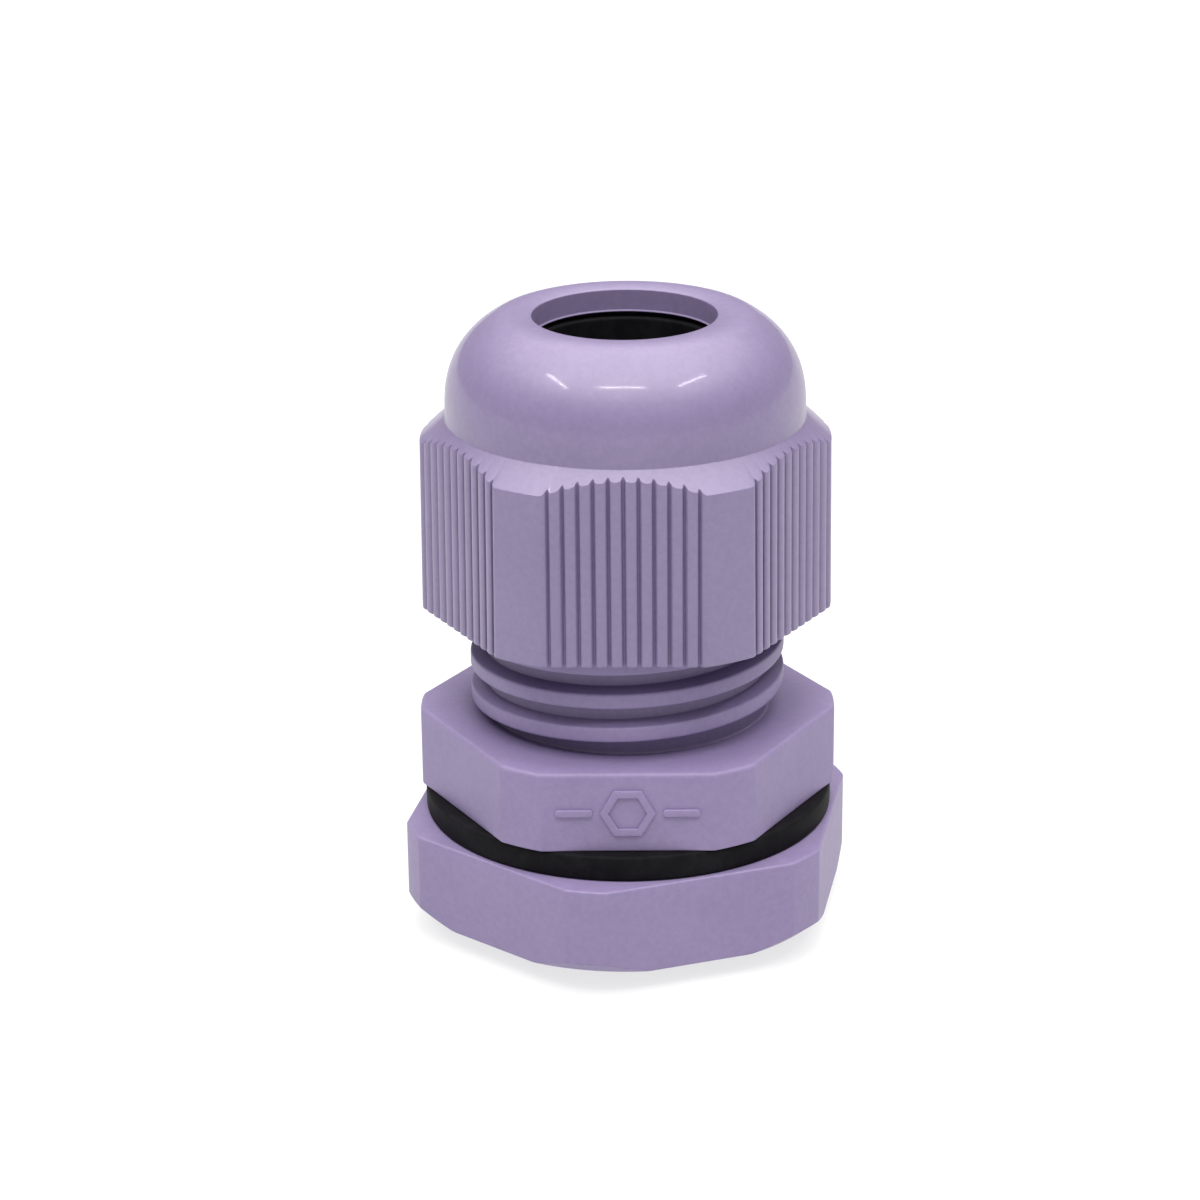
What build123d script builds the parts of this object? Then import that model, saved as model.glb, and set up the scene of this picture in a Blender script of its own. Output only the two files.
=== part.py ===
from build123d import *
from math import cos, floor, pi, radians, sin, tan
import os

# Cable gland for a round cable, in millimetres, +Z up along the cable.
# The entry thread stands on z = 0, and the flange's marked flat faces -Y.

# ---- cable passage and seal
cable_d = 10.0  # largest cable
seal_wall = 1.6
seal_top_wall = 0.65
seal_length = 14.0
seal_taper_length = 8.2
seal_gap = 0.4  # seal to cage
seal_lip_gap = 0.3  # seal's top to the nut's lip
seal_floor_gap = 0.3  # seal's end to its seat with the nut tight

# ---- entry thread, gasket and flange
entry_thread_d = 18.6
entry_pitch = 1.411
entry_depth = 0.67
entry_crest = 0.17
entry_flank = 40.0
entry_length = 8.0
seat_width = 0.8  # shelf that carries the seal, above the entry bore
pilot_length = 1.2
pilot_relief = 0.23
gasket_width = 2.53  # beyond the thread's crests
gasket_thickness = 1.5
flange_shelf = 1.7  # flats beyond the thread's crests
flange_corner = 1.02  # corners stand this far beyond the flats' radius
flange_height = 4.7
edge_break = 0.25

# ---- head thread, shared by the body and the sealing nut
head_pitch = 2.0
head_depth = 0.9
head_crest = 0.85
head_flank = 12.5
head_neck = 1.0  # plain neck between the thread and the fingers
head_phase = 0.69  # height of a ridge's middle at the +X side
runout = 0.3
head_thread_length = 9.6  # turned length above the run-out

# ---- clamping fingers
finger_count = 10
finger_thickness = 1.1
finger_tip_thickness = 0.9
finger_length = 6.7
finger_slot = 1.3
finger_lean = 4.5  # lean towards the cable with the nut as drawn
finger_lean_tight = 10.5
finger_root_gap = 0.16
finger_step = 0.05

# ---- sealing nut
nut_gap = 6.2  # flange to nut, as drawn
nut_travel_down = 4.0
nut_wall = 1.58
nut_corner = 0.87  # corners stand this far beyond the flats' radius
nut_turned = -0.6  # degrees, from the flange's flats
nut_skirt = 9.9
shoulder_height = 1.3
dome_step = 0.64  # dome inside the flats' radius
dome_band = 0.6
dome_height = 5.92
dome_width = 6.19
dome_pull_up = 0.62  # how squarely the dome turns over
dome_pull_in = 0.45
lip_thickness = 2.0
rim_drop = 0.72  # the hole's edge below the dome's full height
rim_width = 2.3  # the top ring turns over between the hole and the dome
rim_crown = 0.30  # how far its control point stands above the hole's edge
rim_fall = 0.12  # its outer end below the hole's edge
hole_clearance = 0.2
nut_thread_start = 0.6
nut_thread_length = 5.0
cone_clearance = 0.2
groove_count = 11
groove_pitch = 0.837
groove_radius = 0.22
groove_outset = 0.073  # groove centres outside the flat

# ---- locknut
locknut_wall = 2.75  # flats beyond the thread's crests
locknut_corner = 1.21  # corners stand this far beyond the flats' radius
locknut_height = 5.3
locknut_turned = 19.74
locknut_foot = 0.24  # the foot's circle beyond the flats' radius
locknut_foot_slope = 0.84
locknut_thread_overrun = 0.3

thread_root_embed = 0.2  # a swept ridge starts this deep inside its cylinder

# ---- fits
thread_clearance = 0.2
entry_thread_clearance = 0.13
gasket_clearance = 0.2

# ---- raised mark on the flange: a plain hexagon between two bars
mark_height = 0.18
mark_size = 2.7
mark_stroke = 0.42
mark_bar = 2.1
mark_offset = 3.0

# ---- radii, from the cable outwards
cable_r = cable_d / 2
seal_r = cable_r + seal_wall
cage_r = seal_r + seal_gap
finger_r = cage_r + finger_thickness
head_root_r = finger_r + finger_step
head_r = head_root_r + head_depth
nut_minor_r = head_root_r + thread_clearance
nut_major_r = head_r + thread_clearance
nut_flat_r = nut_major_r + nut_wall
nut_corner_r = nut_flat_r + nut_corner
dome_r = nut_flat_r - dome_step
hole_r = cable_r + hole_clearance
entry_r = entry_thread_d / 2
entry_root_r = entry_r - entry_depth
entry_bore_r = cage_r - seat_width
pilot_r = entry_root_r - pilot_relief
gasket_r = entry_r + gasket_width
flange_flat_r = entry_r + flange_shelf
flange_corner_r = flange_flat_r + flange_corner
locknut_flat_r = entry_r + locknut_wall
locknut_corner_r = locknut_flat_r + locknut_corner
locknut_foot_r = locknut_flat_r + locknut_foot

# ---- heights, from the entry thread's end upwards
flange_z = entry_length
flange_top_z = flange_z + flange_height
head_top_z = flange_top_z + runout + head_thread_length
hinge_z = head_top_z + head_neck
nut_z = flange_top_z + nut_gap
shoulder_z = nut_z + nut_skirt
band_z = shoulder_z + shoulder_height
dome_z = band_z + dome_band
top_z = dome_z + dome_height
rim_z = top_z - rim_drop
lip_z = top_z - lip_thickness
seal_top_z = lip_z - seal_lip_gap
seal_z = seal_top_z - seal_length
seat_z = seal_z - nut_travel_down - seal_floor_gap
gasket_z = flange_z - gasket_thickness
locknut_z = gasket_z - locknut_height

hinge_r = cage_r + finger_thickness / 2
finger_pitch = 360 / finger_count
finger_arc = finger_pitch - finger_slot / hinge_r * 180 / pi


def helical_ridge(pitch, base_r, tip_r, base_half, tip_half, start_z, end_z, helix_z):
    """A right-handed ridge on base_r, cut square at start_z and end_z."""
    first_z = helix_z + pitch * floor((start_z - helix_z) / pitch - 1)
    height = pitch * (floor((end_z - first_z) / pitch) + 2)
    with BuildPart() as ridge:
        with BuildLine():
            path = Helix(pitch, height, base_r, center=(0, 0, first_z))
        with BuildSketch(Plane(path @ 0, x_dir=(1, 0, 0), z_dir=path % 0)):
            reach = tip_r - base_r
            embed = -thread_root_embed * abs(reach) / reach
            Polygon((embed, -base_half), (0, -base_half), (reach, -tip_half),
                    (reach, tip_half), (0, base_half), (embed, base_half), align=None)
        sweep(is_frenet=True)
        split(bisect_by=Plane.XY.offset(end_z), keep=Keep.BOTTOM)
        split(bisect_by=Plane.XY.offset(start_z), keep=Keep.TOP)
    return ridge.part


def ridge_half(tip_r, tip_width, flank, r):
    """Half the width of an outer thread's ridge at radius r."""
    return tip_width / 2 + (tip_r - r) * tan(radians(flank))


def leaned(r, z, lean):
    """A point of an upright finger, turned towards the cable about its root."""
    a = radians(lean)
    return (hinge_r + (r - hinge_r) * cos(a) - (z - hinge_z) * sin(a),
            hinge_z + (z - hinge_z) * cos(a) + (r - hinge_r) * sin(a))


# ---- gland body
entry_ridge = helical_ridge(
    entry_pitch, entry_root_r, entry_r,
    ridge_half(entry_r, entry_crest, entry_flank, entry_root_r), entry_crest / 2,
    pilot_length, flange_z + edge_break, 0)
head_ridge = helical_ridge(
    head_pitch, head_root_r, head_r,
    ridge_half(head_r, head_crest, head_flank, head_root_r), head_crest / 2,
    flange_top_z + runout, head_top_z, head_phase)

with BuildPart() as flange:
    with BuildSketch(Plane.XY.offset(flange_z)):
        RegularPolygon(flange_flat_r, 6, major_radius=False)
        Circle(flange_corner_r, mode=Mode.INTERSECT)
    extrude(amount=flange_height)
    chamfer(flange.edges().group_by(Axis.Z)[-1], edge_break)

with BuildPart() as gland_body:
    with BuildSketch(Plane.XZ):
        with BuildLine():
            Polyline((0, 0), (pilot_r - edge_break, 0), (pilot_r, edge_break),
                     (pilot_r, pilot_length), (entry_root_r, pilot_length),
                     (entry_root_r, flange_z + edge_break), (head_root_r, flange_z + edge_break),
                     (head_root_r, head_top_z), (finger_r, head_top_z), (finger_r, hinge_z),
                     (0, hinge_z), close=True)
        make_face()
    revolve(axis=Axis.Z)
    add(entry_ridge)
    add(head_ridge)
    add(flange)
    Hole(entry_bore_r)
    with BuildSketch(Plane.XY.offset(hinge_z)):
        Circle(cage_r)
    extrude(amount=seat_z - hinge_z, mode=Mode.SUBTRACT)
    mark_plane = Plane((0, -flange_flat_r, flange_z + flange_height / 2),
                       x_dir=(1, 0, 0), z_dir=(0, -1, 0))
    with BuildSketch(mark_plane.offset(-edge_break)):
        RegularPolygon(mark_size / 2, 6, major_radius=False)
        RegularPolygon(mark_size / 2 - mark_stroke, 6, major_radius=False, mode=Mode.SUBTRACT)
        with Locations((-mark_offset, 0), (mark_offset, 0)):
            SlotOverall(mark_bar, mark_stroke)
    extrude(amount=mark_height + edge_break)
gland_body.part.label = "gland_body"

# ---- clamping fingers, drawn at their lean
finger_outline = [
    leaned(cage_r, hinge_z + finger_root_gap, finger_lean),
    leaned(finger_r, hinge_z + finger_root_gap, finger_lean),
    leaned(cage_r + finger_tip_thickness, hinge_z + finger_length, finger_lean),
    leaned(cage_r, hinge_z + finger_length, finger_lean),
]


def clamping_finger(index):
    """One finger of the cage, swept about the cable's axis."""
    start = index * finger_pitch - finger_arc / 2
    with BuildPart() as finger:
        with BuildSketch(Plane.XZ.rotated((0, 0, start))):
            Polygon(*finger_outline, align=None)
        revolve(axis=Axis.Z, revolution_arc=finger_arc)
    finger.part.label = f"clamping_finger_{index + 1:02d}"
    return finger


clamping_fingers = [clamping_finger(i) for i in range(finger_count)]

# ---- sealing insert
with BuildPart() as sealing_insert:
    with BuildSketch(Plane.XZ):
        with BuildLine():
            Polyline((cable_r, seal_z), (seal_r - edge_break, seal_z), (seal_r, seal_z + edge_break),
                     (seal_r, seal_top_z - seal_taper_length),
                     (cable_r + seal_top_wall, seal_top_z), (cable_r, seal_top_z), close=True)
        make_face()
    revolve(axis=Axis.Z)
sealing_insert.part.label = "sealing_insert"

# ---- sealing nut: its inner cone clears the fingers all the way down
root_shut = leaned(finger_r, hinge_z + finger_root_gap, finger_lean_tight)
tip_shut = leaned(cage_r + finger_tip_thickness, hinge_z + finger_length, finger_lean_tight)
cone_low = (root_shut[0] + cone_clearance, root_shut[1] + nut_travel_down)
cone_high = (tip_shut[0] + cone_clearance, tip_shut[1] + nut_travel_down)
cone_slope = (cone_low[0] - cone_high[0]) / (cone_high[1] - cone_low[1])
relief_z = head_top_z + nut_travel_down + thread_clearance
cone_z = relief_z + thread_clearance


def cone_r(z):
    """Radius of the nut's inner cone at height z."""
    return cone_low[0] - (z - cone_low[1]) * cone_slope


nut_thread_z = nut_z + nut_thread_start
nut_thread_top_z = nut_thread_z + nut_thread_length
nut_ridge = helical_ridge(
    head_pitch, nut_major_r, nut_minor_r,
    head_pitch / 2 - ridge_half(head_r, head_crest, head_flank, nut_major_r) - thread_clearance,
    head_pitch / 2 - ridge_half(head_r, head_crest, head_flank, nut_minor_r) - thread_clearance,
    nut_thread_z, nut_thread_top_z, head_phase + head_pitch / 2)

with BuildPart() as sealing_nut:
    with BuildSketch(Plane.XY.offset(nut_z)):
        RegularPolygon(nut_flat_r, 6, major_radius=False, rotation=nut_turned)
        Circle(nut_corner_r, mode=Mode.INTERSECT)
    extrude(amount=top_z - nut_z)
    with BuildSketch(Plane.XZ):
        with BuildLine():
            Polyline((dome_r, dome_z), (dome_r, band_z), (nut_corner_r, shoulder_z),
                     (nut_corner_r, nut_z + edge_break), (nut_corner_r - edge_break, nut_z),
                     (0, nut_z), (0, top_z), (dome_r - dome_width, top_z))
            Bezier((dome_r, dome_z), (dome_r, dome_z + dome_pull_up * dome_height),
                   (dome_r - dome_pull_in * dome_width, top_z), (dome_r - dome_width, top_z))
        make_face()
    revolve(axis=Axis.Z, mode=Mode.INTERSECT)
    with BuildSketch(Plane.XZ):
        with BuildLine():
            Polyline((hole_r + rim_width, rim_z - rim_fall), (hole_r + rim_width, top_z),
                     (0, top_z), (0, nut_z), (nut_major_r + edge_break, nut_z),
                     (nut_major_r, nut_z + edge_break), (nut_major_r, relief_z),
                     (cone_r(cone_z), cone_z), (cone_r(lip_z), lip_z), (hole_r, lip_z), (hole_r, rim_z))
            Bezier((hole_r, rim_z), (hole_r + rim_width / 2, rim_z + rim_crown),
                   (hole_r + rim_width, rim_z - rim_fall))
        make_face()
    revolve(axis=Axis.Z, mode=Mode.SUBTRACT)
    add(nut_ridge)
    with BuildSketch(Plane.XY.offset(nut_z)):
        for flat in range(6):
            with PolarLocations(nut_flat_r + groove_outset, 1, start_angle=30 + 60 * flat + nut_turned):
                with GridLocations(1, groove_pitch, 1, groove_count):
                    Circle(groove_radius)
    extrude(amount=band_z - nut_z, mode=Mode.SUBTRACT)
sealing_nut.part.label = "sealing_nut"

# ---- flat gasket
with BuildPart() as gasket:
    with BuildSketch(Plane.XY.offset(gasket_z)):
        Circle(gasket_r)
        Circle(entry_r + gasket_clearance, mode=Mode.SUBTRACT)
    extrude(amount=gasket_thickness)
gasket.part.label = "gasket"

# ---- locknut
locknut_major_r = entry_r + entry_thread_clearance
locknut_minor_r = entry_root_r + entry_thread_clearance
locknut_groove = helical_ridge(
    entry_pitch, locknut_minor_r, locknut_major_r,
    ridge_half(entry_r, entry_crest, entry_flank, locknut_minor_r) + entry_thread_clearance,
    ridge_half(entry_r, entry_crest, entry_flank, locknut_major_r) + entry_thread_clearance,
    locknut_z - locknut_thread_overrun, gasket_z + locknut_thread_overrun, 0)

with BuildPart() as locknut:
    with BuildSketch(Plane.XY.offset(locknut_z)):
        RegularPolygon(locknut_flat_r, 6, major_radius=False, rotation=locknut_turned)
        Circle(locknut_corner_r, mode=Mode.INTERSECT)
        Circle(locknut_minor_r, mode=Mode.SUBTRACT)
    extrude(amount=locknut_height)
    add(locknut_groove, mode=Mode.SUBTRACT)
    with BuildSketch(Plane.XZ):
        with BuildLine():
            Polyline((0, locknut_z), (locknut_foot_r, locknut_z),
                     (locknut_corner_r,
                      locknut_z + (locknut_corner - locknut_foot) * locknut_foot_slope),
                     (locknut_corner_r, gasket_z - edge_break), (locknut_corner_r - edge_break, gasket_z),
                     (0, gasket_z), close=True)
        make_face()
    revolve(axis=Axis.Z, mode=Mode.INTERSECT)
locknut.part.label = "locknut"

os.makedirs("parts", exist_ok=True)
pieces = [gland_body, sealing_insert, sealing_nut, gasket, locknut] + clamping_fingers
for piece in pieces:
    export_step(piece.part, f"parts/{piece.part.label}.step")
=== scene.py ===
import math

import bmesh
import bpy
import numpy as np
from mathutils import Matrix, Vector


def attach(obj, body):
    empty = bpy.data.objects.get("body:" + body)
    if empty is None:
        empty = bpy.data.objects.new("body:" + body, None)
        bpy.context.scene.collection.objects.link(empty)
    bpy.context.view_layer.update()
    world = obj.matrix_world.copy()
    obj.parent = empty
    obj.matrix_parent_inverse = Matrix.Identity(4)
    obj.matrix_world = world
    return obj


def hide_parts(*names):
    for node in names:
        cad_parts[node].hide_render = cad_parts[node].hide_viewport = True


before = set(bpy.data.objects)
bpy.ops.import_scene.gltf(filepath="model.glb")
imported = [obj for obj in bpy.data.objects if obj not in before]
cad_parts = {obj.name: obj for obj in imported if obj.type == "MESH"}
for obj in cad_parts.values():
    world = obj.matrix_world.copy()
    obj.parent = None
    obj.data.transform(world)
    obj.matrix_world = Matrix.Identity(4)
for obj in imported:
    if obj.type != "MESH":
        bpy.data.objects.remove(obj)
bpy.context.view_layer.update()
print("frame loaded:", len(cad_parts), "nodes")

mm = 0.001
fullTurn = 2 * math.pi


# all but the flange's mark are stacks of rings round the Z axis, in millimetres

def smoothMin(a, b, blend):
    h = np.clip(0.5 + 0.5 * (b - a) / blend, 0, 1)
    return b * (1 - h) + a * h - blend * h * (1 - h)


def fadeIn(x):
    t = np.clip(x, 0, 1)
    return t * t * (3 - 2 * t)


cornerRounding = {"steps": 4, "reach": 0.45}  # rows in a corner, share of its shorter side that it may take


def rounded(keys, columns, closed=False):
    # rings through the key points (r, z, rounding); r and z may differ from column to column
    pts = []
    for r, z, rad in keys:
        pts.append((np.broadcast_to(np.asarray(r, float), (columns,)),
                    np.broadcast_to(np.asarray(z, float), (columns,)), rad))
    rings = []
    count = len(pts)
    for k, (r, z, rad) in enumerate(pts):
        inner = closed or 0 < k < count - 1
        if rad <= 0 or not inner:
            rings.append((r, z))
            continue
        pr, pz, _ = pts[(k - 1) % count]
        nr, nz, _ = pts[(k + 1) % count]
        inLen = np.hypot(r - pr, z - pz) + 1e-9
        outLen = np.hypot(nr - r, nz - z) + 1e-9
        inR, inZ = (r - pr) / inLen, (z - pz) / inLen
        outR, outZ = (nr - r) / outLen, (nz - z) / outLen
        turn = np.arccos(np.clip(inR * outR + inZ * outZ, -1, 1))
        reach = np.minimum(rad * np.tan(turn / 2), np.minimum(inLen, outLen) * cornerRounding["reach"])
        for s in np.linspace(0, 1, cornerRounding["steps"] + 1):
            a, b, c = (1 - s) ** 2, 2 * s * (1 - s), s ** 2
            rings.append((a * (r - reach * inR) + b * r + c * (r + reach * outR),
                          a * (z - reach * inZ) + b * z + c * (z + reach * outZ)))
    return rings


def ringGrid(rings, angles):
    grid = np.zeros((len(rings), len(angles), 3))
    for i, (r, z) in enumerate(rings):
        grid[i, :, 0] = r * np.cos(angles)
        grid[i, :, 1] = r * np.sin(angles)
        grid[i, :, 2] = z
    return grid


def threadGrid(thread, angles, turned=0.0):
    # a helical surface between two flat ends: it climbs one pitch a turn, column by column
    pitch = thread["pitch"]
    section = thread["section"]
    low, high = thread["low"], thread["high"]
    first = math.floor((low - thread["phase"]) / pitch) - 2
    last = math.ceil((high - thread["phase"]) / pitch) + 2
    climb = pitch * (angles + math.radians(turned)) / fullTurn
    rings = []
    for turn in range(first, last):
        centre = thread["phase"] + pitch * turn + climb
        grow = fadeIn((centre - thread["startFrom"]) / thread["grow"])
        grow = grow * fadeIn((thread["endBy"] - centre) / thread["fade"])
        for dz, height in section:
            z = np.clip(centre + dz, low, high)
            r = thread["root"] + (thread["crest"] - thread["root"]) * height * grow
            rings.append((r, z))
    return ringGrid(rings, angles), len(section)


meshFinish = {"weld": 0.002, "sliver": 0.0005, "sharpAngle": 38}  # mm, mm, degrees


def finishMesh(mesh, sliver=True, turned=0.0):
    # weld the doubled points, face outwards, and smooth all but the sharp edges
    bm = bmesh.new()
    bm.from_mesh(mesh)
    bmesh.ops.remove_doubles(bm, verts=bm.verts, dist=meshFinish["weld"] * mm)
    if sliver:
        bmesh.ops.dissolve_degenerate(bm, edges=bm.edges, dist=meshFinish["sliver"] * mm)
    bmesh.ops.recalc_face_normals(bm, faces=bm.faces)
    openEdges = sum(1 for edge in bm.edges if not edge.is_manifold)
    if turned:
        bmesh.ops.rotate(bm, verts=bm.verts, matrix=Matrix.Rotation(math.radians(turned), 3, "Z"))
    bm.to_mesh(mesh)
    bm.free()
    mesh.set_sharp_from_angle(angle=math.radians(meshFinish["sharpAngle"]))
    mesh.polygons.foreach_set("use_smooth", [True] * len(mesh.polygons))
    print(f"{mesh.name}: {len(mesh.polygons)} faces, {openEdges} open edges")


def makePiece(name, grids, material, body, stands, turned=0.0):
    # one closed mesh from grids of rings; a grid's last column meets its first, shift rings up
    verts, faces = [], []
    for grid, shift, closeRows in grids:
        rows, cols, _ = grid.shape
        base = len(verts)
        verts.extend((grid.reshape(-1, 3) * mm).tolist())
        lastRow = rows if closeRows else rows - 1
        for i in range(lastRow):
            up = (i + 1) % rows
            for j in range(cols - 1):
                faces.append((base + i * cols + j, base + i * cols + j + 1,
                              base + up * cols + j + 1, base + up * cols + j))
            if i + 1 + shift < rows or (closeRows and not shift):
                a, b = i + shift, (i + 1 + shift) % rows
                faces.append((base + i * cols + cols - 1, base + a * cols,
                              base + b * cols, base + up * cols + cols - 1))
    mesh = bpy.data.meshes.new(name)
    mesh.from_pydata(verts, [], faces)
    finishMesh(mesh, turned=turned)
    obj = bpy.data.objects.new(name, mesh)
    bpy.context.scene.collection.objects.link(obj)
    mesh.materials.append(material)
    weighted = obj.modifiers.new("WeightedNormals", "WEIGHTED_NORMAL")
    weighted.keep_sharp = True
    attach(obj, body)
    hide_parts(*stands)


def addNode(tree, kind, **settings):
    node = tree.nodes.new(kind)
    for key, value in settings.items():
        if key in node.inputs:
            node.inputs[key].default_value = value
        else:
            setattr(node, key, value)
    return node


def rampNode(tree, stops):
    node = tree.nodes.new("ShaderNodeValToRGB")
    ramp = node.color_ramp
    while len(ramp.elements) < len(stops):
        ramp.elements.new(0.5)
    for element, (place, value) in zip(ramp.elements, stops):
        element.position = place
        element.color = (*value, 1)
    return node


nylonFinish = {
    "colour": (0.232, 0.184, 0.346),
    "shade": (0.204, 0.160, 0.312),
    "bloom": (0.256, 0.205, 0.372),
    "blotchStops": (0.30, 0.5, 0.72),  # where in the noise the shade, the colour and the bloom are full
    "evenness": 0.35,  # how much of the blotches shows
    "speckDark": (0.35, (0.90, 0.90, 0.91)),  # place in the noise, what the colour is multiplied by
    "speckLight": (0.62, (1.04, 1.04, 1.03)),
    "speckShare": 0.6,
    "blotchSize": 240.0,  # noise scales, per metre
    "glossSize": 720.0,
    "speckSize": 2600.0,
    "grainSize": 5200.0,
    "waveSize": 420.0,
    # painted shade: the colour is darkened where the surface is hemmed in (thread roots, rib grooves, the hole),
    # standing in for shade
    "paintedShadeReach": 1.4,  # mm
    "paintedShadeRays": 8,
    "paintedShadeStart": 0.30,  # openness at which the painted crease shade is darkest
    "paintedCreaseShade": (0.46, 0.43, 0.50),  # painted shade: what is left of the colour deep in a crease
    "roughSpread": (-0.04, 0.05),
    "ior": 1.5,
    "coatRoughness": 0.10,
}


def makeNylon(name, roughness, grain, waviness, coat=0.0, paintedShadeTone=1.0, paintedShadeEnd=0.86):
    # grain and waviness are bump heights in mm, the tone argument darkens the whole colour as painted shade,
    # and the crease end is the openness past which no painted crease shade shows
    look = nylonFinish
    material = bpy.data.materials.new(name)
    material.use_nodes = True
    tree = material.node_tree
    link = tree.links.new
    shader = tree.nodes["Principled BSDF"]
    place = addNode(tree, "ShaderNodeTexCoord").outputs["Object"]

    blotch = addNode(tree, "ShaderNodeTexNoise", Scale=look["blotchSize"], Detail=5.0, Roughness=0.6)
    link(place, blotch.inputs["Vector"])
    tints = (look["shade"], look["colour"], look["bloom"])
    blotchRamp = rampNode(tree, list(zip(look["blotchStops"], tints)))
    link(blotch.outputs["Fac"], blotchRamp.inputs["Fac"])
    soften = addNode(tree, "ShaderNodeMix", data_type="RGBA")
    soften.inputs["Factor"].default_value = look["evenness"]
    soften.inputs["A"].default_value = (*look["colour"], 1)
    link(blotchRamp.outputs["Color"], soften.inputs["B"])

    speck = addNode(tree, "ShaderNodeTexNoise", Scale=look["speckSize"], Detail=3.0, Roughness=0.65)
    link(place, speck.inputs["Vector"])
    speckRamp = rampNode(tree, [look["speckDark"], look["speckLight"]])
    link(speck.outputs["Fac"], speckRamp.inputs["Fac"])
    dappled = addNode(tree, "ShaderNodeMix", data_type="RGBA", blend_type="MULTIPLY")
    dappled.inputs["Factor"].default_value = look["speckShare"]
    link(soften.outputs["Result"], dappled.inputs["A"])
    link(speckRamp.outputs["Color"], dappled.inputs["B"])

    # painted shade: local ambient occlusion multiplies the colour darker in roots, grooves and creases, where
    # shade falls
    paintedCreaseShade = addNode(tree, "ShaderNodeAmbientOcclusion", samples=look["paintedShadeRays"], only_local=True)
    paintedCreaseShade.inputs["Distance"].default_value = look["paintedShadeReach"] * mm
    deepestShade = tuple(c * paintedShadeTone for c in look["paintedCreaseShade"])
    paintedShadeRamp = rampNode(tree, [(look["paintedShadeStart"], deepestShade), (paintedShadeEnd, (paintedShadeTone, paintedShadeTone, paintedShadeTone))])
    link(paintedCreaseShade.outputs["AO"], paintedShadeRamp.inputs["Fac"])
    shadedColour = addNode(tree, "ShaderNodeMix", data_type="RGBA", blend_type="MULTIPLY")
    shadedColour.inputs["Factor"].default_value = 1.0
    link(dappled.outputs["Result"], shadedColour.inputs["A"])
    link(paintedShadeRamp.outputs["Color"], shadedColour.inputs["B"])
    link(shadedColour.outputs["Result"], shader.inputs["Base Color"])

    roughNoise = addNode(tree, "ShaderNodeTexNoise", Scale=look["glossSize"], Detail=3.0, Roughness=0.6)
    link(place, roughNoise.inputs["Vector"])
    roughRange = addNode(tree, "ShaderNodeMapRange")
    smoother, rougher = look["roughSpread"]
    roughRange.inputs["To Min"].default_value = roughness + smoother
    roughRange.inputs["To Max"].default_value = roughness + rougher
    link(roughNoise.outputs["Fac"], roughRange.inputs["Value"])
    link(roughRange.outputs["Result"], shader.inputs["Roughness"])

    grainNoise = addNode(tree, "ShaderNodeTexNoise", Scale=look["grainSize"], Detail=3.0, Roughness=0.65)
    link(place, grainNoise.inputs["Vector"])
    waveNoise = addNode(tree, "ShaderNodeTexNoise", Scale=look["waveSize"], Detail=2.0, Roughness=0.5)
    link(place, waveNoise.inputs["Vector"])
    waveBump = addNode(tree, "ShaderNodeBump", Strength=1.0, Distance=waviness * mm)
    link(waveNoise.outputs["Fac"], waveBump.inputs["Height"])
    grainBump = addNode(tree, "ShaderNodeBump", Strength=1.0, Distance=grain * mm)
    link(grainNoise.outputs["Fac"], grainBump.inputs["Height"])
    link(waveBump.outputs["Normal"], grainBump.inputs["Normal"])
    link(grainBump.outputs["Normal"], shader.inputs["Normal"])

    shader.inputs["IOR"].default_value = look["ior"]
    shader.inputs["Coat Weight"].default_value = coat
    shader.inputs["Coat Roughness"].default_value = look["coatRoughness"]
    return material


rubberFinish = {
    "colour": (0.0040, 0.0036, 0.0050),
    "dust": (0.012, 0.011, 0.014),
    "dustStops": (0.45, 0.85),
    "dustSize": 900.0,  # noise scales, per metre
    "fineSize": 4200.0,
    "roughness": 0.66,
    "roughSpread": (-0.08, 0.12),
    "shine": 0.10,
}


def makeRubber(name, grain):
    look = rubberFinish
    material = bpy.data.materials.new(name)
    material.use_nodes = True
    tree = material.node_tree
    link = tree.links.new
    shader = tree.nodes["Principled BSDF"]
    place = addNode(tree, "ShaderNodeTexCoord").outputs["Object"]
    dust = addNode(tree, "ShaderNodeTexNoise", Scale=look["dustSize"], Detail=6.0, Roughness=0.7)
    link(place, dust.inputs["Vector"])
    dustRamp = rampNode(tree, list(zip(look["dustStops"], (look["colour"], look["dust"]))))
    link(dust.outputs["Fac"], dustRamp.inputs["Fac"])
    link(dustRamp.outputs["Color"], shader.inputs["Base Color"])
    roughRange = addNode(tree, "ShaderNodeMapRange")
    smoother, rougher = look["roughSpread"]
    roughRange.inputs["To Min"].default_value = look["roughness"] + smoother
    roughRange.inputs["To Max"].default_value = look["roughness"] + rougher
    link(dust.outputs["Fac"], roughRange.inputs["Value"])
    link(roughRange.outputs["Result"], shader.inputs["Roughness"])
    shader.inputs["Specular IOR Level"].default_value = look["shine"]
    fine = addNode(tree, "ShaderNodeTexNoise", Scale=look["fineSize"], Detail=3.0, Roughness=0.6)
    link(place, fine.inputs["Vector"])
    bump = addNode(tree, "ShaderNodeBump", Strength=1.0, Distance=grain * mm)
    link(fine.outputs["Fac"], bump.inputs["Height"])
    link(bump.outputs["Normal"], shader.inputs["Normal"])
    return material


bodyNylon = makeNylon("bodyNylon", roughness=0.50, grain=0.010, waviness=0.015)
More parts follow.
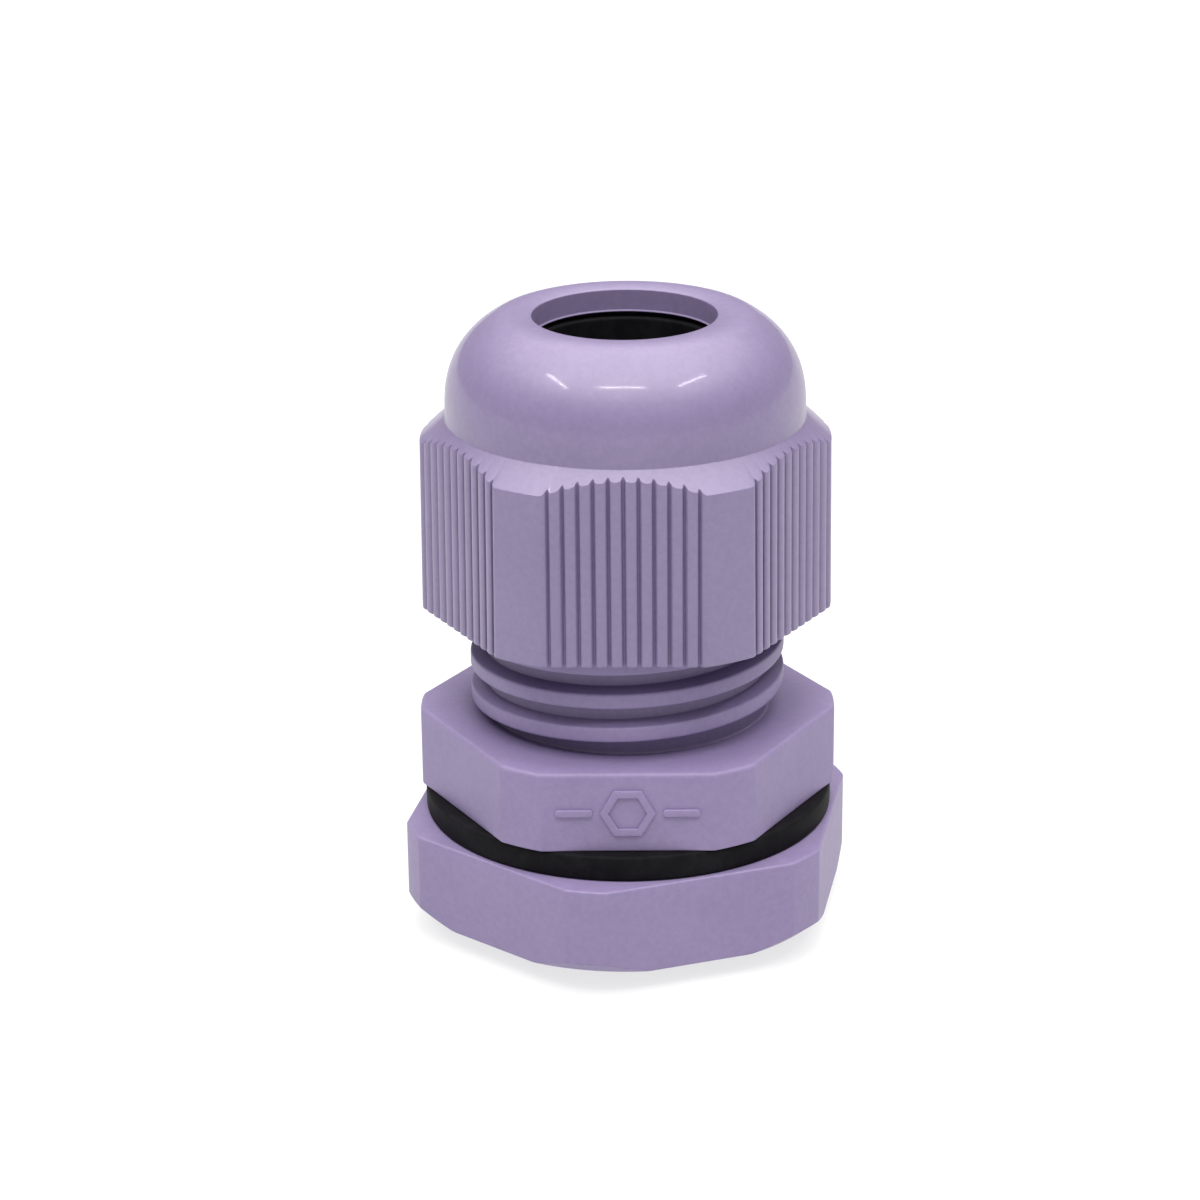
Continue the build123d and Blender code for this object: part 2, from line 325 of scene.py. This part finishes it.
# painted shade: the nut's colour is dimmed overall because the lamps light it more than the lower parts, and its
# painted crease shade stops at a lower openness
nutNylon = makeNylon("nutNylon", roughness=0.42, grain=0.003, waviness=0.008,
                     coat=0.35, paintedShadeTone=0.87, paintedShadeEnd=0.66)
locknutNylon = makeNylon("locknutNylon", roughness=0.46, grain=0.008, waviness=0.015)
sealRubber = makeRubber("sealRubber", grain=0.008)
gasketRubber = makeRubber("gasketRubber", grain=0.014)
print("materials made")


def sectorAngles(offsets):
    # column angles for six like flats: offsets are degrees from a corner, 0 up to 60
    return np.radians(np.concatenate([np.asarray(offsets) + 60 * k for k in range(6)]))


def fromFlat(angles):
    # degrees from the middle of the nearest flat, with the corners at 0, 60, ...
    return np.degrees(angles) % 60 - 30


sealingNut = {
    "turned": -0.6,
    "bottom": 18.9,
    "flatTop": 10.785,
    "flatBottom": 10.878,
    "cornerTop": 11.65,
    "cornerBottom": 11.74,
    "shoulderFoot": 28.8,
    "shoulderTop": 30.1,
    "domeFoot": 30.7,
    "domeR": 10.19,
    "domeFlatR": 4.003,
    "domeHeight": 5.925,
    "domeOut": 2 / 1.963,
    "domeUp": 2 / 2.387,
    "domeRows": 40,
    "hole": 5.2,
    "topRing": (7.08, 6.35, 36.20, 35.90),  # where it leaves the dome, control r and z, the hole's edge
    "topRingRows": 9,
    "rimEdge": 0.09,
    "lipUnder": 34.62,
    "lipStep": 0.11,  # the thin lip under the hole's wall stands this far in
    "lipHeights": (0.09, 0.05),
    "ribPitch": 0.837,
    "ribGrooves": 11,
    "grooveDepth": 0.27,
    # how far from a groove's middle, and the share of its depth there
    "grooveProfile": [(0, 1.0), (0.05, 0.92), (0.09, 0.62), (0.13, 0.30), (0.18, 0.17), (0.27, 0.07), (0.42, 0.0)],
    "ribbedHalf": 4.36,  # no extra columns past this, from a flat's middle
    "cornerColumns": [0, 1.5, 3, 4.5, 6, 7, 7.6, 52.4, 53, 54, 55.5, 57, 58.5],
    "cornerBlend": 0.03,
    "skirtRows": [(0.33, 3.3), (0.66, 6.6)],  # share of the skirt's taper, height over its bottom
    "threadEntry": 0.4,
    "edge": 0.16,
    "shoulderEdge": 0.10,
    "relief": 26.8,
    "coneLow": (8.52, 27.0),
    "coneHigh": (6.79, 34.62),
    "thread": {
        "pitch": 2.0, "phase": 1.69, "root": 9.25, "crest": 8.35,
        "low": 19.3, "high": 25.2, "startFrom": 19.8, "endBy": 24.3, "grow": 0.18, "fade": 0.18,
        "section": [(-1.0, 0), (-0.44, 0), (-0.40, 0.08), (-0.24, 0.90), (-0.19, 1.0),
                    (0, 1.0), (0.19, 1.0), (0.24, 0.90), (0.40, 0.08), (0.44, 0)],
    },
}


def grooveSection(x, spec):
    # depth of the ribbing at x along a flat: narrow valleys between crowned ribs
    pitch = spec["ribPitch"]
    half = spec["ribGrooves"] / 2 * pitch
    inGroove = (np.abs(x) < half).astype(float)
    offset = 0.0 if spec["ribGrooves"] % 2 else 0.5  # an even count has a rib on the flat's middle
    near = np.abs((x / pitch + offset + 0.5) % 1 - 0.5) * pitch
    valley = np.interp(near, *zip(*spec["grooveProfile"]))
    return spec["grooveDepth"] * valley * inGroove


def buildSealingNut():
    n = sealingNut
    flatMid = 0.5 * (n["flatTop"] + n["flatBottom"])
    pitch = n["ribPitch"]
    places = []
    for k in range(n["ribGrooves"]):
        centre = (k - (n["ribGrooves"] - 1) / 2) * pitch
        for d, _ in n["grooveProfile"][:-1]:
            places += [centre - d, centre + d] if d else [centre]
        places.append(centre + pitch / 2)
    ribAngles = [30 + math.degrees(math.atan2(x, flatMid)) for x in places if abs(x) < n["ribbedHalf"]]
    angles = sectorAngles(sorted(ribAngles + n["cornerColumns"]))
    off = np.radians(fromFlat(angles))

    def wall(high):
        flat = n["flatBottom"] + (n["flatTop"] - n["flatBottom"]) * high
        corner = n["cornerBottom"] + (n["cornerTop"] - n["cornerBottom"]) * high
        x = flat * np.tan(off)
        plain = flat / np.cos(off)
        grooved = (flat - grooveSection(x, n)) / np.cos(off)
        depth = plain - grooved
        return smoothMin(plain, np.full_like(plain, corner), n["cornerBlend"]) - depth

    top = wall(1.0)
    foot = wall(0.0)
    slope = (n["shoulderTop"] - n["shoulderFoot"]) / (n["cornerTop"] - n["domeR"])
    shoulderZ = n["shoulderTop"] - (top - n["domeR"]) * slope
    cols = len(angles)
    t = n["thread"]
    keys = [
        (t["root"], t["low"], 0),
        (t["root"] + n["threadEntry"], n["bottom"], 0.08),
        (foot, n["bottom"], n["edge"]),
        *[(foot + (top - foot) * share, n["bottom"] + up, 0) for share, up in n["skirtRows"]],
        (top, shoulderZ, n["shoulderEdge"]),
        (n["domeR"], n["shoulderTop"], 0.12),
    ]
    # dome: its foot wall runs into a squared ellipse that stops at the ring round the hole
    ringR, turnR, turnZ, edgeZ = n["topRing"]
    for s in np.linspace(0, 1, n["domeRows"]):
        a = s * math.pi / 2
        r = n["domeFlatR"] + (n["domeR"] - n["domeFlatR"]) * math.cos(a) ** n["domeOut"]
        z = n["domeFoot"] + n["domeHeight"] * math.sin(a) ** n["domeUp"]
        if r > ringR:
            keys.append((r, z, 0))
    startR, startZ, _ = keys[-1]
    for s in np.linspace(0, 1, n["topRingRows"] + 2)[1:-1]:
        a, b, c = (1 - s) ** 2, 2 * s * (1 - s), s ** 2
        keys.append((a * startR + b * turnR + c * n["hole"], a * startZ + b * turnZ + c * edgeZ, 0))
    lipR = n["hole"] - n["lipStep"]
    lipFrom, lipTo = n["lipHeights"]
    keys += [
        (n["hole"], edgeZ, n["rimEdge"]),
        (n["hole"], n["lipUnder"] + lipFrom, 0.03),
        (lipR, n["lipUnder"] + lipTo, 0.02),
        (lipR, n["lipUnder"], 0.02),
        (*n["coneHigh"], 0.15),
        (*n["coneLow"], 0.1),
        (t["root"], n["relief"], 0.1),
        (t["root"], t["high"], 0),
    ]
    rings = rounded(keys, cols)
    inner, shift = threadGrid(t, angles, turned=n["turned"])
    makePiece("sealingNutShell", [(ringGrid(rings, angles), 0, False), (inner, shift, False)],
              nutNylon, "sealing_nut", ["sealing_nut"], turned=n["turned"])


glandBody = {
    "flat": 11.0,
    "corner": 12.02,
    "flangeFoot": 8.0,
    "flangeTop": 12.7,
    "flangeEdge": 0.30,
    "flangeFootEdge": 0.12,
    "flangeRow": 2.3,  # height of a row of faces half-way up the flange
    "flangeTopRows": (1.2, 9.6),  # in from the wall, and a radius
    "cornerBlend": 0.05,
    "bore": 6.2,
    "cage": 7.0,
    "seat": 16.02,
    "neck": 8.10,
    "top": 23.6,
    "cageEdge": 0.15,
    "pilot": 8.40,
    "pilotEdge": 0.25,
    "entryThread": {
        "pitch": 1.411, "phase": 0.0, "root": 8.63, "crest": 9.30,
        "low": 1.2, "high": 8.0, "startFrom": 1.85, "endBy": 7.4, "grow": 0.3, "fade": 0.3,
        "section": [(-0.7055, 0), (-0.64, 0), (-0.60, 0.06), (-0.11, 0.95), (-0.06, 1.0),
                    (0.06, 1.0), (0.11, 0.95), (0.60, 0.06), (0.64, 0)],
    },
    "headThread": {
        "pitch": 2.0, "phase": 0.69, "root": 8.15, "crest": 9.05,
        "low": 12.98, "high": 22.9, "startFrom": 13.32, "endBy": 22.15, "grow": 0.2, "fade": 0.3,
        "section": [(-1.0, 0), (-0.72, 0), (-0.65, 0.03), (-0.61, 0.12), (-0.455, 0.85), (-0.425, 0.94),
                    (-0.37, 0.985), (-0.28, 1.0), (0, 1.0), (0.28, 1.0), (0.37, 0.985), (0.425, 0.94),
                    (0.455, 0.85), (0.61, 0.12), (0.65, 0.03), (0.72, 0)],
    },
}


def hexWall(angles, flat, corner, blend):
    off = np.radians(fromFlat(angles))
    return smoothMin(flat / np.cos(off), np.full_like(off, corner), blend)


hexColumns = {"step": 1.25, "nearCorner": (-0.8, -0.4, 0, 0.4, 0.8)}  # degrees


def hexOffsets(flat, corner):
    # column places on one flat, closer together where it turns into the corner
    edge = math.degrees(math.acos(flat / corner))
    places = list(np.arange(0, 60, hexColumns["step"]))
    for side in (30 - edge, 30 + edge):
        places += [side + d for d in hexColumns["nearCorner"]]
    return sorted(set(round(p, 3) for p in places))


def buildGlandBody():
    g = glandBody
    angles = sectorAngles(hexOffsets(g["flat"], g["corner"]))
    cols = len(angles)
    wall = hexWall(angles, g["flat"], g["corner"], g["cornerBlend"])
    entry, head = g["entryThread"], g["headThread"]
    foot = rounded([
        (g["bore"], g["flangeFoot"], 0), (g["bore"], 0, 0.2), (g["pilot"], 0, g["pilotEdge"]),
        (g["pilot"], entry["low"], 0.03), (entry["root"], entry["low"], 0),
    ], cols)
    topRow, topRowR = g["flangeTopRows"]
    flange = rounded([
        (entry["root"], entry["high"], 0), (wall, g["flangeFoot"], g["flangeFootEdge"]),
        (wall, g["flangeFoot"] + g["flangeRow"], 0), (wall, g["flangeTop"], g["flangeEdge"]),
        (wall - topRow, g["flangeTop"], 0), (topRowR, g["flangeTop"], 0),
        (head["root"], g["flangeTop"], 0.25), (head["root"], head["low"], 0),
    ], cols)
    edge = g["cageEdge"]
    cage = rounded([
        (head["root"], head["high"], 0), (g["neck"], head["high"] + 0.05, 0), (g["neck"], g["top"], edge),
        (g["cage"], g["top"], edge), (g["cage"], g["seat"], edge), (g["bore"], g["seat"], edge),
        (g["bore"], g["flangeFoot"], 0),
    ], cols)
    entryGrid, entryShift = threadGrid(entry, angles)
    headGrid, headShift = threadGrid(head, angles)
    makePiece("glandBodyShell", [
        (ringGrid(foot, angles), 0, False), (entryGrid, entryShift, False),
        (ringGrid(flange, angles), 0, False), (headGrid, headShift, False),
        (ringGrid(cage, angles), 0, False),
    ], bodyNylon, "gland_body", ["gland_body"])


locknutShape = {
    "turned": 19.74,
    "flat": 12.04,
    "corner": 13.264,
    "bottom": 1.2,
    "top": 6.5,
    "foot": 12.288,
    "footSlope": 0.839,
    "footLeast": 0.12,  # the foot's slope is at least this high, and this far in
    "footInset": 0.14,
    "footEdge": 0.12,
    "wallRow": 1.4,  # a row of faces this far under the top
    "threadEntry": 0.3,
    "threadEntryEdge": 0.06,
    "cornerBlend": 0.05,
    "edge": 0.16,
    "thread": {
        "pitch": 1.411, "phase": 0.7055, "root": 9.43, "crest": 8.76,
        "low": 1.5, "high": 6.2, "startFrom": 2.1, "endBy": 5.6, "grow": 0.25, "fade": 0.25,
        "section": [(-0.7055, 0), (-0.60, 0), (-0.57, 0.04), (-0.07, 0.94), (-0.03, 1.0),
                    (0.03, 1.0), (0.07, 0.94), (0.57, 0.04), (0.60, 0)],
    },
}


def buildLocknut():
    n = locknutShape
    angles = sectorAngles(hexOffsets(n["flat"], n["corner"]))
    cols = len(angles)
    wall = hexWall(angles, n["flat"], n["corner"], n["cornerBlend"])
    footRise = (wall - n["foot"]) * n["footSlope"]
    chamferTop = np.maximum(n["bottom"] + footRise, n["bottom"] + n["footLeast"])
    chamferIn = np.minimum(wall - n["footInset"], n["foot"])
    t = n["thread"]
    entryR, entryEdge = t["root"] + n["threadEntry"], n["threadEntryEdge"]
    rings = rounded([
        (t["root"], t["low"], 0), (entryR, n["bottom"], entryEdge), (chamferIn, n["bottom"], 0.1),
        (wall, chamferTop, n["footEdge"]), (wall, n["top"] - n["wallRow"], 0), (wall, n["top"], n["edge"]),
        (entryR, n["top"], entryEdge), (t["root"], t["high"], 0),
    ], cols)
    inner, shift = threadGrid(t, angles, turned=n["turned"])
    makePiece("locknutShell", [(ringGrid(rings, angles), 0, False), (inner, shift, False)],
              locknutNylon, "locknut", ["locknut"], turned=n["turned"])


gasketShape = {
    "outer": 11.83,
    "inner": 9.5,
    "bottom": 6.5,
    "top": 8.0,
    "edge": 0.22,
    "innerEdge": 0.1,
    "bulge": 0.03,
    "faceRows": (0.5, 0.9),  # a row this far in from the rim, below and above
    "columns": 240,
}


def buildGasket():
    g = gasketShape
    angles = np.linspace(0, fullTurn, g["columns"], endpoint=False)
    mid = 0.5 * (g["bottom"] + g["top"])
    rim = g["outer"] - g["bulge"]
    rowBelow, rowAbove = g["faceRows"]
    rings = rounded([
        (g["inner"], g["bottom"], g["innerEdge"]), (g["outer"] - rowBelow, g["bottom"], 0),
        (rim, g["bottom"], g["edge"]), (g["outer"], mid, 0), (rim, g["top"], g["edge"]),
        (g["outer"] - rowAbove, g["top"], 0), (g["inner"], g["top"], g["innerEdge"]),
    ], len(angles), closed=True)
    makePiece("gasketRing", [(ringGrid(rings, angles), 0, True)],
              gasketRubber, "gasket", ["gasket"])


sealShape = {
    "bore": 5.0,
    "outer": 6.6,
    "topOuter": 5.65,
    "bottom": 20.32,
    "top": 34.32,
    "taperFrom": 26.12,
    "taperBlend": 1.0,
    "edge": 0.25,
    "innerEdge": 0.15,
    "mouthEdge": 0.2,
    "boreRow": 3,  # a row of faces this far from each end of the bore
    "columns": 180,
}


def buildSeal():
    s = sealShape
    angles = np.linspace(0, fullTurn, s["columns"], endpoint=False)
    rings = rounded([
        (s["bore"], s["bottom"], s["innerEdge"]), (s["outer"], s["bottom"], s["edge"]),
        (s["outer"], s["taperFrom"], s["taperBlend"]), (s["topOuter"], s["top"], s["innerEdge"]),
        (s["bore"], s["top"], s["mouthEdge"]), (s["bore"], s["top"] - s["boreRow"], 0),
        (s["bore"], s["bottom"] + s["boreRow"], 0),
    ], len(angles), closed=True)
    makePiece("sealSleeve", [(ringGrid(rings, angles), 0, True)],
              sealRubber, "sealing_insert", ["sealing_insert"])


markShape = {
    "height": 0.16,
    "sink": 0.2,  # how far it goes into the flange
    "edge": 0.05,
    "size": 2.7,  # across the ring's flats
    "stroke": 0.42,
    "bar": 2.1,
    "offset": 3.0,
    "capStep": 18,  # degrees between points round a bar's end
    "z": 10.35,
}


def outlineSpline(curve, points):
    spline = curve.splines.new("POLY")
    spline.points.add(len(points) - 1)
    for point, (x, y) in zip(spline.points, points):
        point.co = (x * mm, y * mm, 0, 1)
    spline.use_cyclic_u = True


def buildMark():
    # a raised hexagon ring between two bars, on the flange's front flat
    m = markShape
    curve = bpy.data.curves.new("flangeMark", "CURVE")
    curve.dimensions = "2D"
    curve.fill_mode = "BOTH"
    curve.extrude = (m["height"] + m["sink"]) / 2 * mm - m["edge"] * mm
    curve.bevel_depth = m["edge"] * mm
    curve.bevel_resolution = 3
    inset = m["edge"]
    for half in (m["size"] / 2 - inset, m["size"] / 2 - m["stroke"] + inset):
        corner = half / math.cos(math.pi / 6)
        turns = [math.radians(60 * k) for k in range(6)]
        outlineSpline(curve, [(corner * math.cos(a), corner * math.sin(a)) for a in turns])
    cap = m["stroke"] / 2 - inset
    reach = m["bar"] / 2 - m["stroke"] / 2
    step = m["capStep"]
    for side in (-1, 1):
        ends = []
        for degrees in range(step // 2 - 90, 270, step):
            middle = side * m["offset"] + (reach if abs(degrees) < 90 else -reach)
            a = math.radians(degrees)
            ends.append((middle + cap * math.cos(a), cap * math.sin(a)))
        outlineSpline(curve, ends)
    holder = bpy.data.objects.new("markCurve", curve)
    bpy.context.scene.collection.objects.link(holder)
    mesh = bpy.data.meshes.new_from_object(holder.evaluated_get(bpy.context.evaluated_depsgraph_get()))
    bpy.data.objects.remove(holder)
    middle = Vector((0, -glandBody["flat"] - (m["height"] - m["sink"]) / 2, m["z"])) * mm
    mesh.transform(Matrix.Translation(middle) @ Matrix.Rotation(math.pi / 2, 4, "X"))
    mesh.name = "flangeMark"
    finishMesh(mesh, sliver=False)
    mesh.materials.clear()
    mesh.materials.append(bodyNylon)
    obj = bpy.data.objects.new("flangeMark", mesh)
    bpy.context.scene.collection.objects.link(obj)
    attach(obj, "gland_body")


buildSealingNut()
buildGlandBody()
buildMark()
buildLocknut()
buildGasket()
buildSeal()

# the clamping fingers keep their own shape and take the body's nylon
for name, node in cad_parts.items():
    if name.startswith("clamping_finger"):
        node.data.materials.clear()
        node.data.materials.append(bodyNylon)
print("pieces made")


studio = {
    "floorHalf": 3.0,
    "floor": (0.24, 0.24, 0.24),
    "floorRoughness": 0.9,
    "floorGlow": 0.72,
    "skyStrength": 4.0,
    # height, 0 straight down to 1 straight up, and brightness there
    "sky": [(0.0, 0.10), (0.5, 0.05), (0.70, 0.06), (0.80, 0.25),
            (0.86, 0.56), (0.92, 0.66), (0.97, 0.95), (1.0, 0.95)],
    "skyColour": (1.0, 0.99, 0.93),
    "stripTarget": (0, -0.008, 0.034),
    "strips": {  # two ends, width, radiance
        "stripFront": ((-0.101, -0.200, 0.371), (0.073, -0.207, 0.375), 0.007, 75),
        "stripLeft": ((-0.231, -0.030, 0.363), (-0.204, -0.170, 0.340), 0.009, 55),
        "stripRight": ((0.189, -0.167, 0.351), (0.246, -0.040, 0.352), 0.009, 55),
    },
}


def makeFloor():
    mesh = bpy.data.meshes.new("studioFloor")
    half = studio["floorHalf"]
    corners = [(-half, -half, 0), (half, -half, 0), (half, half, 0), (-half, half, 0)]
    mesh.from_pydata(corners, [], [(0, 1, 2, 3)])
    floor = bpy.data.objects.new("studioFloor", mesh)
    bpy.context.scene.collection.objects.link(floor)
    material = bpy.data.materials.new("paleFloor")
    material.use_nodes = True
    shader = material.node_tree.nodes["Principled BSDF"]
    shader.inputs["Base Color"].default_value = (*studio["floor"], 1)
    shader.inputs["Roughness"].default_value = studio["floorRoughness"]
    shader.inputs["Specular IOR Level"].default_value = 0.0
    shader.inputs["Emission Color"].default_value = (1, 1, 1, 1)
    shader.inputs["Emission Strength"].default_value = studio["floorGlow"]
    mesh.materials.append(material)


def makeStrip(name, start, end, width, radiance):
    # a long thin light from start to end, facing the gland's dome
    start, end = Vector(start), Vector(end)
    place = (start + end) / 2
    length = (end - start).length
    data = bpy.data.lights.new(name, "AREA")
    data.shape = "RECTANGLE"
    data.size, data.size_y = length, width
    data.energy = radiance * math.pi * length * width
    light = bpy.data.objects.new(name, data)
    bpy.context.scene.collection.objects.link(light)
    back = (place - Vector(studio["stripTarget"])).normalized()
    side = (end - start).normalized()
    side = (side - back * side.dot(back)).normalized()
    turn = Matrix((side, back.cross(side), back)).transposed()
    light.matrix_world = Matrix.Translation(place) @ turn.to_4x4()


def makeStudio():
    world = bpy.data.worlds.new("studioWorld")
    bpy.context.scene.world = world
    world.use_nodes = True
    tree = world.node_tree
    background = tree.nodes["Background"]
    place = addNode(tree, "ShaderNodeTexCoord").outputs["Generated"]
    split = addNode(tree, "ShaderNodeSeparateXYZ")
    tree.links.new(place, split.inputs["Vector"])
    height = addNode(tree, "ShaderNodeMapRange")
    height.inputs["From Min"].default_value = -1.0
    tree.links.new(split.outputs["Z"], height.inputs["Value"])
    tint = studio["skyColour"]
    sky = rampNode(tree, [(at, tuple(level * c for c in tint)) for at, level in studio["sky"]])
    tree.links.new(height.outputs["Result"], sky.inputs["Fac"])
    tree.links.new(sky.outputs["Color"], background.inputs["Color"])
    background.inputs["Strength"].default_value = studio["skyStrength"]
    makeFloor()
    for name, (start, end, width, radiance) in studio["strips"].items():
        makeStrip(name, start, end, width, radiance)


cameraSet = {
    "place": (0.5762, -185.7055, 88.08),  # mm
    "down": 20.44,  # degrees
    "yaw": 0.652,
    "roll": -0.602,
    "lens": 103.27,
    "sensor": 36,
    "nearest": 0.01,
    "farthest": 10,
}


def makeCamera():
    c = cameraSet
    data = bpy.data.cameras.new("studioCamera")
    data.lens = c["lens"]
    data.sensor_width = c["sensor"]
    data.clip_start = c["nearest"]
    data.clip_end = c["farthest"]
    camera = bpy.data.objects.new("studioCamera", data)
    bpy.context.scene.collection.objects.link(camera)
    turn = (Matrix.Rotation(math.radians(c["yaw"]), 4, "Z")
            @ Matrix.Rotation(math.radians(90 - c["down"]), 4, "X")
            @ Matrix.Rotation(math.radians(c["roll"]), 4, "Z"))
    camera.matrix_world = Matrix.Translation(Vector(c["place"]) * mm) @ turn
    bpy.context.scene.camera = camera


makeStudio()
makeCamera()
bpy.context.scene.view_settings.view_transform = "Standard"
print("studio ready")
